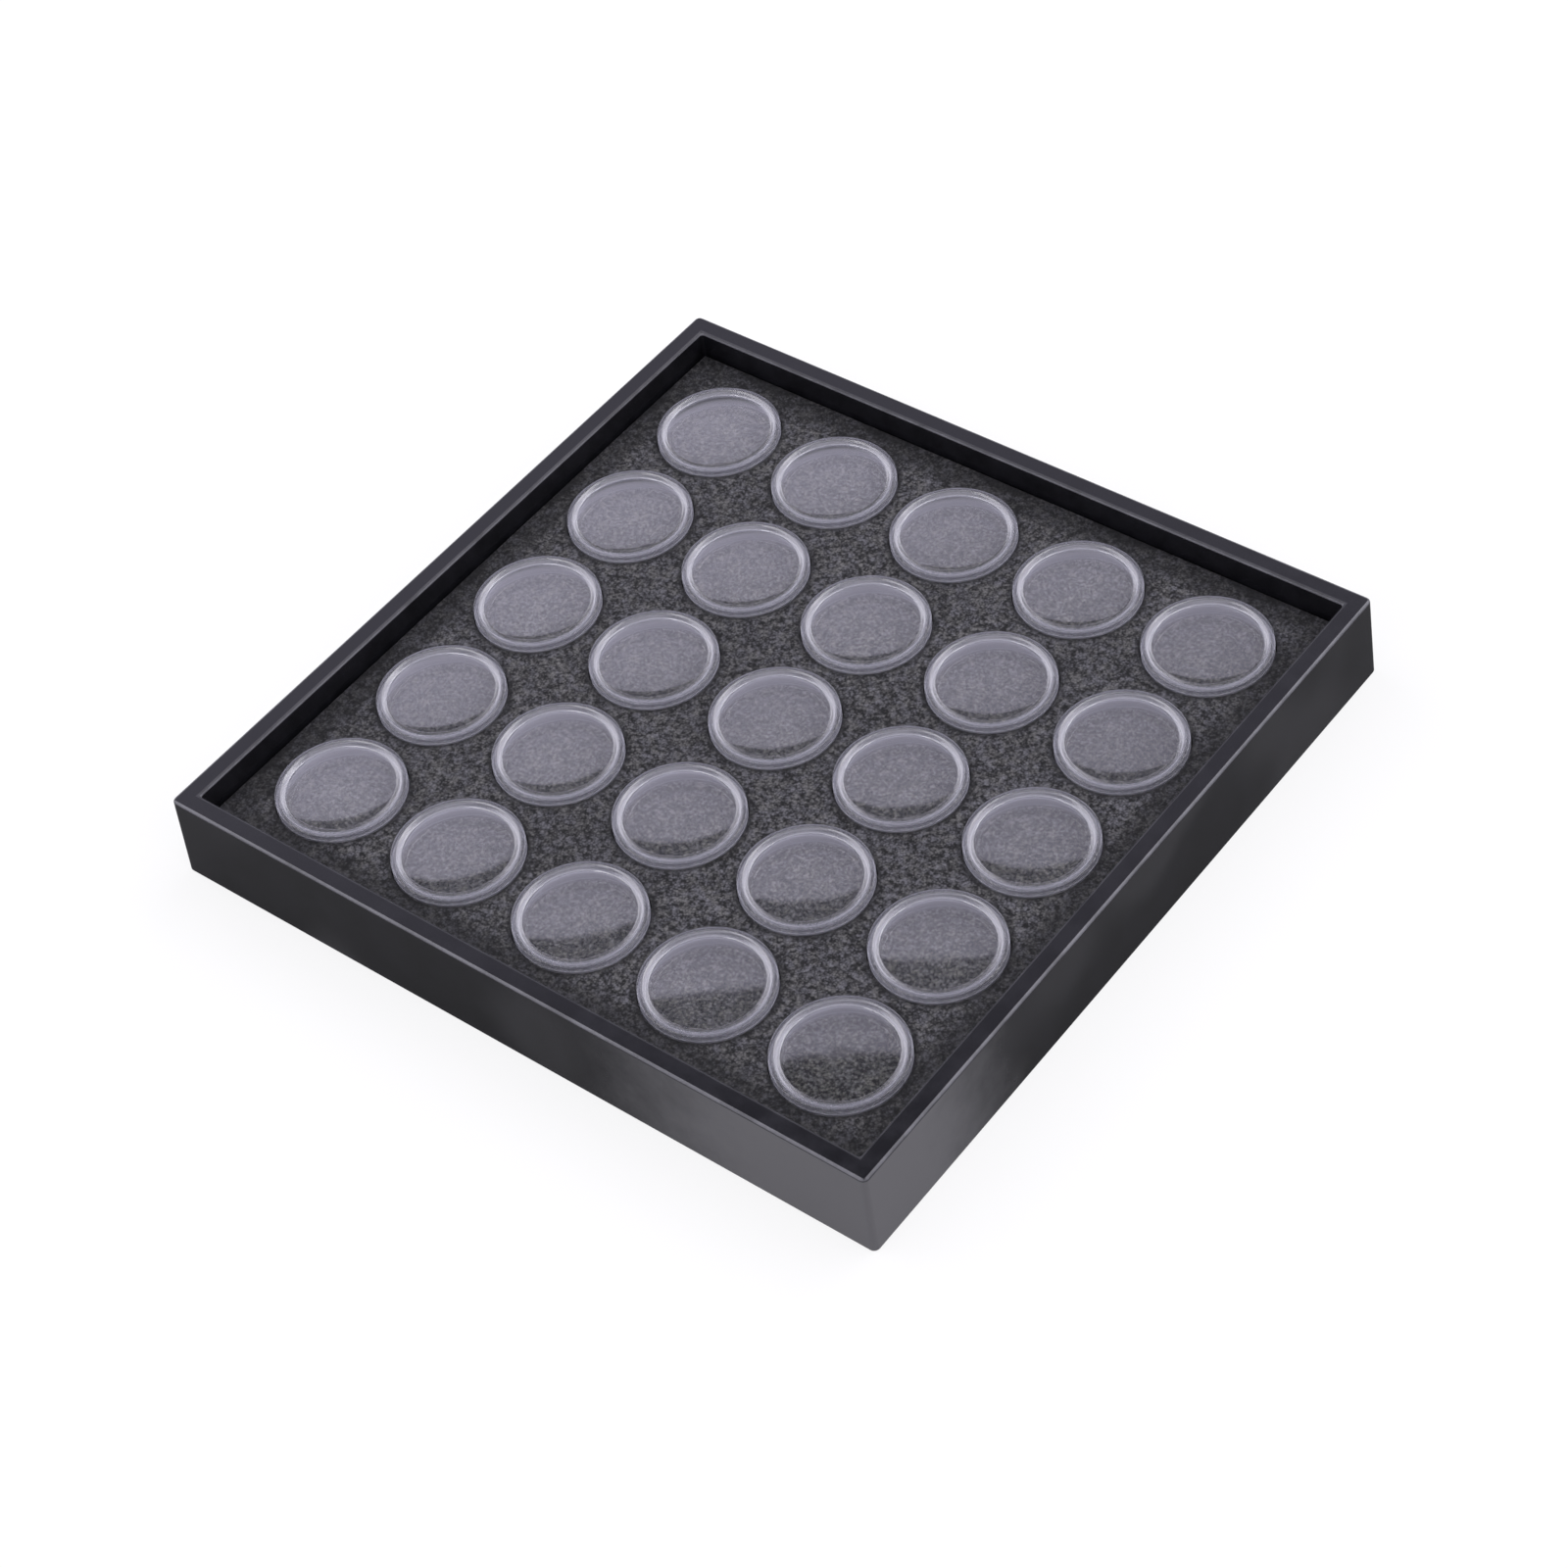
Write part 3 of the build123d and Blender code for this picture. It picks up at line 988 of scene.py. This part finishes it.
def set_camera(props):
    data = bpy.data.cameras.new("camera")
    data.lens = props.lens
    data.sensor_width = 36.0
    data.clip_start = 0.05
    data.clip_end = 50.0
    camera = bpy.data.objects.new("camera", data)
    bpy.context.scene.collection.objects.link(camera)
    back = direction(props.camera_azimuth, props.camera_elevation)
    camera.location = Vector(props.aim) + back * props.camera_distance
    camera.rotation_mode = "QUATERNION"
    level = (-back).to_track_quat("-Z", "Y").to_matrix()
    camera.rotation_quaternion = (level @ Matrix.Rotation(props.camera_roll, 3, "Z")).to_quaternion()
    bpy.context.scene.camera = camera


# ---------------------------------------------------------------- operators
class CapsuleTrayOperator:
    """What the operators share."""
    bl_options = {"REGISTER", "UNDO"}


class COINTRAY_OT_tray(CapsuleTrayOperator, bpy.types.Operator):
    """Model the black tray with its hollow rim"""
    bl_idname = "cointray.tray"
    bl_label = "Tray"

    def execute(self, context):
        props = context.scene.cointray_tray
        tray = model_tray(props)
        webs = model_webs(props)
        apply_modifier(tray, "BOOLEAN", operation="UNION", solver="EXACT", object=webs)
        bpy.data.objects.remove(webs)
        finish_shading(tray, TRAY_SMOOTH)
        dress(tray, "tray", "tray_shell", black_plastic(props))
        return {"FINISHED"}


class COINTRAY_OT_foam_sheet(CapsuleTrayOperator, bpy.types.Operator):
    """Model the upper foam sheet with its round pockets"""
    bl_idname = "cointray.foam_sheet"
    bl_label = "Foam with pockets"

    def execute(self, context):
        props = context.scene.cointray_foam
        sheet = model_foam_sheet(props)
        foam = speckled_foam("speckled_foam", props, SHEET_GAIN, True)
        dress(sheet, "tray", "foam_insert", foam)
        return {"FINISHED"}


class COINTRAY_OT_foam_pad(CapsuleTrayOperator, bpy.types.Operator):
    """Model the plain foam sheet under the capsules"""
    bl_idname = "cointray.foam_pad"
    bl_label = "Foam under the capsules"

    def execute(self, context):
        props = context.scene.cointray_foam
        pad = model_foam_pad(props)
        # Painted light: the pad gets a lighter colour than the cut sheet, to make up for its shade under the capsules
        foam = speckled_foam("speckled_foam_below", props, PAD_PAINTED_LIGHT, False)
        dress(pad, "tray", "foam_base_pad", foam)
        return {"FINISHED"}


class COINTRAY_OT_cups(CapsuleTrayOperator, bpy.types.Operator):
    """Model the lower halves of the capsules"""
    bl_idname = "cointray.cups"
    bl_label = "Capsule cups"

    def execute(self, context):
        props = context.scene.cointray_capsule
        plastic = clear_plastic("clear_cup_plastic", props)
        spread(model_cup(props), BASE_BOXES, FIRST_BASE_LOW.z, "capsule_cup", "capsule", "capsule_base", plastic)
        return {"FINISHED"}


class COINTRAY_OT_caps(CapsuleTrayOperator, bpy.types.Operator):
    """Model the lids of the capsules"""
    bl_idname = "cointray.caps"
    bl_label = "Capsule caps"

    def execute(self, context):
        props = context.scene.cointray_capsule
        plastic = clear_plastic("clear_cap_plastic", props)
        spread(model_lid(props), LID_BOXES, FIRST_LID_LOW.z, "capsule_cap", "lid", "capsule_lid", plastic)
        return {"FINISHED"}


class COINTRAY_OT_stage(CapsuleTrayOperator, bpy.types.Operator):
    """Set the floor, the light and the camera"""
    bl_idname = "cointray.stage"
    bl_label = "Stage"

    def execute(self, context):
        props = context.scene.cointray_stage
        deselect()
        bpy.ops.mesh.primitive_plane_add(size=props.floor_size, location=(0, 0, -0.05 * MM))
        floor = bpy.context.active_object
        floor.name = "floor"
        floor.data.materials.append(pale_floor(props))
        set_surroundings(props)
        set_lamps(props)
        set_camera(props)
        context.scene.view_settings.view_transform = "Standard"
        return {"FINISHED"}


class COINTRAY_PT_panel(bpy.types.Panel):
    """Lists the pieces of the coin tray"""
    bl_idname = "COINTRAY_PT_panel"
    bl_label = "Coin Tray"
    bl_space_type = "VIEW_3D"
    bl_region_type = "UI"
    bl_category = "Coin Tray"

    def draw(self, context):
        for group, operators in PANEL_ROWS:
            box = self.layout.box()
            for operator in operators:
                box.operator(operator.bl_idname)
            props = getattr(context.scene, group)
            for name in props.bl_rna.properties.keys():
                if name not in ("name", "rna_type"):
                    box.prop(props, name)


PANEL_ROWS = (
    ("cointray_tray", (COINTRAY_OT_tray,)),
    ("cointray_foam", (COINTRAY_OT_foam_sheet, COINTRAY_OT_foam_pad)),
    ("cointray_capsule", (COINTRAY_OT_cups, COINTRAY_OT_caps)),
    ("cointray_stage", (COINTRAY_OT_stage,)),
)
PROPERTY_GROUPS = {
    "cointray_tray": TrayProperties,
    "cointray_foam": FoamProperties,
    "cointray_capsule": CapsuleProperties,
    "cointray_stage": StageProperties,
}
OPERATORS = tuple(operator for _, operators in PANEL_ROWS for operator in operators)


def register():
    for name, group in PROPERTY_GROUPS.items():
        bpy.utils.register_class(group)
        setattr(bpy.types.Scene, name, PointerProperty(type=group))
    for operator in OPERATORS:
        bpy.utils.register_class(operator)
    bpy.utils.register_class(COINTRAY_PT_panel)


def unregister():
    bpy.utils.unregister_class(COINTRAY_PT_panel)
    for operator in reversed(OPERATORS):
        bpy.utils.unregister_class(operator)
    for name, group in PROPERTY_GROUPS.items():
        delattr(bpy.types.Scene, name)
        bpy.utils.unregister_class(group)


def main():
    register()
    bpy.ops.cointray.tray()
    bpy.ops.cointray.foam_pad()
    bpy.ops.cointray.foam_sheet()
    bpy.ops.cointray.cups()
    bpy.ops.cointray.caps()
    bpy.ops.cointray.stage()
    bpy.context.view_layer.update()


if __name__ == "__main__":
    main()
